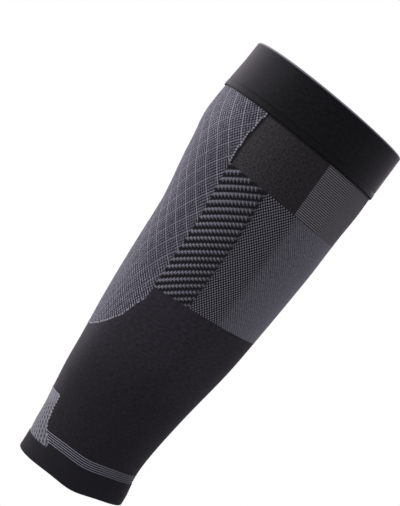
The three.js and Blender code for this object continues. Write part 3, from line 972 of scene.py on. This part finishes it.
# %% [markdown]
# ## The patch over the tendon
# Over the tendon sits a light gray patch, held at its foot by the hem. Two families of light slanting lines cross
# in it and leave small dark lozenges between them, and beads line its border with the black knit.

# %% The patch over the tendon
angle, height = grid(-FOOT, FOOT, HEM_TOP, patch_high, 0.9, breaks=[*patch_breaks, *both([NECK - STEP])])
patch = knit_wall("tendon_patch", angle, height)


def patch_recipe(wale, height):
    rise, fall = wale.size() * 0.23 + height * 0.35, wale.size() * 0.42 + height * 0.086
    net = rise.near(0.22).most(fall.near(0.34))
    weave = checks(wale, height, WEAVE) * 0.1 + (speckle(wale, height, 1.1, 0.8) - 0.5) * 0.5
    low = height.ramp(47, 36, 0.5, 1)
    share = (net * low + (low * -1 + 1)).blend(weave + 0.09, weave + 0.62)
    return share, net * 0.7 + stitches(wale, height) * 0.5


patch_yarn = yarn("achilles_gray_yarn", (0.03, 0.03, 0.036), (0.50, 0.49, 0.57), patch_recipe)
patch.data.materials.append(patch_yarn)
PATCH_BEAD_STEP = 2.4
run = np.linspace(FOOT, NECK, 200)
side_top = np.arange(HEM_TOP + 5, patch_high(run)[-1], PATCH_BEAD_STEP)
side_run = np.interp(side_top, patch_high(run), run)
neck_run = np.arange(side_top[-1] + PATCH_BEAD_STEP, HEM_TOP + PATCH, PATCH_BEAD_STEP)
top_run = np.arange(-16, 17) * WALE
angle = np.concatenate([side_run, -side_run, neck_run * 0 + NECK, neck_run * 0 - NECK, top_run])
height = np.concatenate([side_top, side_top, neck_run, neck_run, top_run * 0 + HEM_TOP + PATCH])
add_loops(patch, angle, height, 0.05, 1.5, 1.3, 0.35, 0.15, bead_yarn)
dress(patch, patch_yarn, "achilles_patch")

# %% [markdown]
# ## The lined band
# Fine light courses run round the ankle as a band. They are crisp at the back and sides and run together over the
# front. Near the back the band's lower edge follows the patch.

# %% The lined band round the ankle
BAND_LINE, LINE_PROUD, FIRST_LINE, BAND_GAP = 1.45, 0.08, 0.4, 0.3
start = NECK + PATCH_CURVE[2, 0] * (FOOT - NECK) + SEAM_ANGLE


def band_low(angle):
    return np.maximum(patch_high(from_back(angle) - SEAM_ANGLE) + SEAM, ANKLE_LOW)


angle, height = grid(start + BAND_GAP, 360 - start - BAND_GAP, band_low, ANKLE_TOP, 0.36,
                     breaks=[FOOT + SEAM_ANGLE, 360 - FOOT - SEAM_ANGLE])
line_relief = LINE_PROUD * np.cos(math.tau * (height - ANKLE_LOW - FIRST_LINE) / BAND_LINE)
band = knit_wall("lined_ankle_band", angle, height, line_relief)


def band_recipe(wale, height):
    line = ((height - (ANKLE_LOW + FIRST_LINE)) * (1 / BAND_LINE)).wave()
    crisp = line.ramp(0.1, 0.9) * 0.95
    merged = line * (wale.wave() * 0.08 + 0.16) + 0.23
    share = from_front(wale).ramp(14, 48).blend(merged, crisp)
    return share, line * 0.5 + stitches(wale, height) * 0.4


line_yarn = yarn("ankle_line_yarn", (0.005, 0.005, 0.007), (0.42, 0.405, 0.5), band_recipe)
dress(band, line_yarn, "ankle_band")

# %% [markdown]
# ## The hem
# The hem is doubled like the cuff. Its two faces meet below in a rolled edge and it steps in at its top.

# %% The doubled hem
HEM_PROUD, HEM_SHOULDER, ROLL = 0.4, 0.8, 0.97
hem_fold = (HEM_PROUD + WALL) / 2


def hem_high(angle):
    return np.where(from_back(angle) > FOOT + SEAM_ANGLE + STEP / 2, ANKLE_LOW, HEM_TOP) - SEAM


angle, _ = grid(-180, 180, 0, 1, 1, breaks=both([FOOT + SEAM_ANGLE, FOOT + SEAM_ANGLE + STEP]))
angle = angle[:1, :-1]
turn = np.radians(np.linspace(0, 90, 7))[:, None]
fold_height = hem_fold * (1 - np.cos(turn)) + 0 * angle
fold_out = HEM_PROUD - hem_fold * (1 - np.sin(turn)) * ROLL + 0 * angle
fold_in = -WALL + hem_fold * (1 - np.sin(turn)) * ROLL + 0 * angle
top = hem_high(angle)
share = np.linspace(0, 1, 11)[1:, None]
flat_height = hem_fold + (top - HEM_SHOULDER - hem_fold) * share
edge_height = top - HEM_SHOULDER + HEM_SHOULDER * np.array([0.5, 1])[:, None]
height = np.concatenate([fold_height, flat_height, edge_height])
edge_out = np.array([0.3, 0.02])[:, None] + 0 * angle
outer = np.concatenate([fold_out, HEM_PROUD + 0 * flat_height, edge_out])
inner = np.concatenate([fold_in, -WALL + 0 * flat_height, -WALL + 0 * edge_height])
hem = knit_wall("rolled_hem", np.repeat(angle, len(height), axis=0), height, outer, inner, ring=True)


def hem_recipe(wale, height):
    return stitches(wale, height) * 0.1 + 0.5, stitches(wale, height) * 0.15


hem_yarn = yarn("hem_black_yarn", (0.005, 0.0045, 0.006), (0.032, 0.029, 0.038), hem_recipe, sheen=0.1)
dress(hem, hem_yarn, "ankle_hem")

# %% [markdown]
# ## Count the pieces
# The dressed sleeve is meant to be as big as the CAD model; the script ends by counting its pieces.

# %% Finish
print("pieces:", len(finished))
